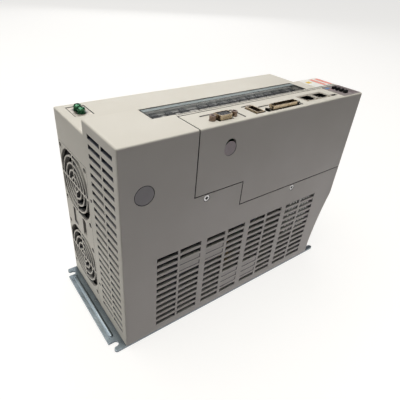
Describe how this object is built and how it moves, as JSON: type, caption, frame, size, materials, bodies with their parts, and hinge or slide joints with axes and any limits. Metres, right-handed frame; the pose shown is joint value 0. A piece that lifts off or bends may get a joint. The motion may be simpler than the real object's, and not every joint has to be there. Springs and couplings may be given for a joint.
{
  "type": "servo drive",
  "caption": "Wall-mounted motor drive: vented plastic housing on a flanged steel plate, two end fans, clear terminal flap, sockets, keys and display.",
  "frame": {"origin": "centre of the mounting face of the base plate", "axes": "+Z out of the mounting plate to the front of the drive, +X towards the display end (top when mounted), -X the fan end, -Y the vented side"},
  "size_m": [0.25, 0.11, 0.183],
  "materials": {
    "zinc_plate": "blue zinc plated, satin",
    "steel_screw": "zinc plated",
    "housing_plastic": "fine moulded texture, warm grey",
    "disc_plastic": "fine moulded texture",
    "dot_paper": "printed paper dot",
    "sink_aluminium": "mill finish extrusion",
    "pad_rubber": "soft silicone",
    "black_plastic": "moulded black",
    "board_green": "solder mask over glass laminate",
    "nickel": "nickel plated",
    "capacitor_sleeve": "shrink sleeve",
    "ferrite": "sintered ferrite",
    "yellow_tape": "polyester tape",
    "relay_plastic": "moulded case",
    "white_ceramic": "cement-filled ceramic",
    "terminal_plastic": "glass-filled moulding",
    "smoked_clear": "smoked clear polycarbonate",
    "green_screw": "green chromated, glossy",
    "gold_shell": "yellow chromate over steel",
    "gold_contact": "gold plated",
    "bronze_lug": "bronze chromated",
    "display_smoke": "dark tinted acrylic",
    "film": "printed polyester film",
    "label_paper": "laminated paper",
    "fan_plastic": "moulded black",
    "key_rubber": "moulded black"
  },
  "bodies": {
    "chassis": {"base_plate": "zinc_plate", "board_link": "black_plastic", "board_screws": "steel_screw", "board_standoffs": "nickel", "bus_capacitors": "capacitor_sleeve", "control_board": "board_green", "control_cover": "housing_plastic", "cover_screws": "steel_screw", "display_module": "black_plastic", "display_window": "display_smoke", "encoder_insert": "black_plastic", "encoder_shell": "gold_shell", "fan_cover": "housing_plastic", "fan_frame_1": "fan_plastic", "fan_frame_2": "fan_plastic", "fan_screws": "steel_screw", "fan_shaft_1": "nickel", "fan_shaft_2": "nickel", "front_label": "label_paper", "ground_plate": "nickel", "ground_screws": "green_screw", "heat_sink": "sink_aluminium", "key_switches": "black_plastic", "knockout_disc": "disc_plastic", "network_contacts": "gold_contact", "network_jacks": "nickel", "overlay_film": "film", "panel_board": "board_green", "plate_screws": "steel_screw", "power_board": "board_green", "power_module": "black_plastic", "rear_housing": "housing_plastic", "rectifier": "black_plastic", "relay": "relay_plastic", "serial_insert": "black_plastic", "serial_lugs": "bronze_lug", "serial_pins": "gold_contact", "serial_shell": "gold_shell", "shunt_resistors": "white_ceramic", "side_housing": "housing_plastic", "signal_contacts": "gold_contact", "signal_insert": "black_plastic", "signal_latches": "nickel", "signal_shell": "gold_shell", "sticker_dot": "dot_paper", "terminal_block": "terminal_plastic", "terminal_clamps": "nickel", "terminal_screws": "steel_screw", "thermal_pads": "pad_rubber", "transformer_core": "ferrite", "transformer_winding": "yellow_tape", "usb_shell": "nickel", "usb_tongue": "black_plastic"},
    "terminal_flap": {"terminal_cover": "smoked_clear"},
    "upper_fan": {"fan_rotor_1": "fan_plastic"},
    "lower_fan": {"fan_rotor_2": "fan_plastic"},
    "button_1": {"key_1": "key_rubber"},
    "button_2": {"key_2": "key_rubber"},
    "button_3": {"key_3": "key_rubber"},
    "button_4": {"key_4": "key_rubber"}
  },
  "joints": [
    {"name": "terminal_cover_hinge", "type": "hinge", "parent": "chassis", "child": "terminal_flap", "pos_m": [0.0067, -0.0073, 0.1788], "axis": [-1, 0, 0], "range_deg": [0, 100]},
    {"name": "upper_fan_spin", "type": "hinge", "parent": "chassis", "child": "upper_fan", "pos_m": [-0.1, 0.025, 0.115], "axis": [1, 0, 0], "continuous": true},
    {"name": "lower_fan_spin", "type": "hinge", "parent": "chassis", "child": "lower_fan", "pos_m": [-0.1, 0.025, 0.04], "axis": [1, 0, 0], "continuous": true},
    {"name": "key_1_press", "type": "slide", "parent": "chassis", "child": "button_1", "axis": [0, 0, -1], "range_m": [0, 0.0006], "stiffness_N_per_m": 300},
    {"name": "key_2_press", "type": "slide", "parent": "chassis", "child": "button_2", "axis": [0, 0, -1], "range_m": [0, 0.0006], "stiffness_N_per_m": 300},
    {"name": "key_3_press", "type": "slide", "parent": "chassis", "child": "button_3", "axis": [0, 0, -1], "range_m": [0, 0.0006], "stiffness_N_per_m": 300},
    {"name": "key_4_press", "type": "slide", "parent": "chassis", "child": "button_4", "axis": [0, 0, -1], "range_m": [0, 0.0006], "stiffness_N_per_m": 300}
  ]
}
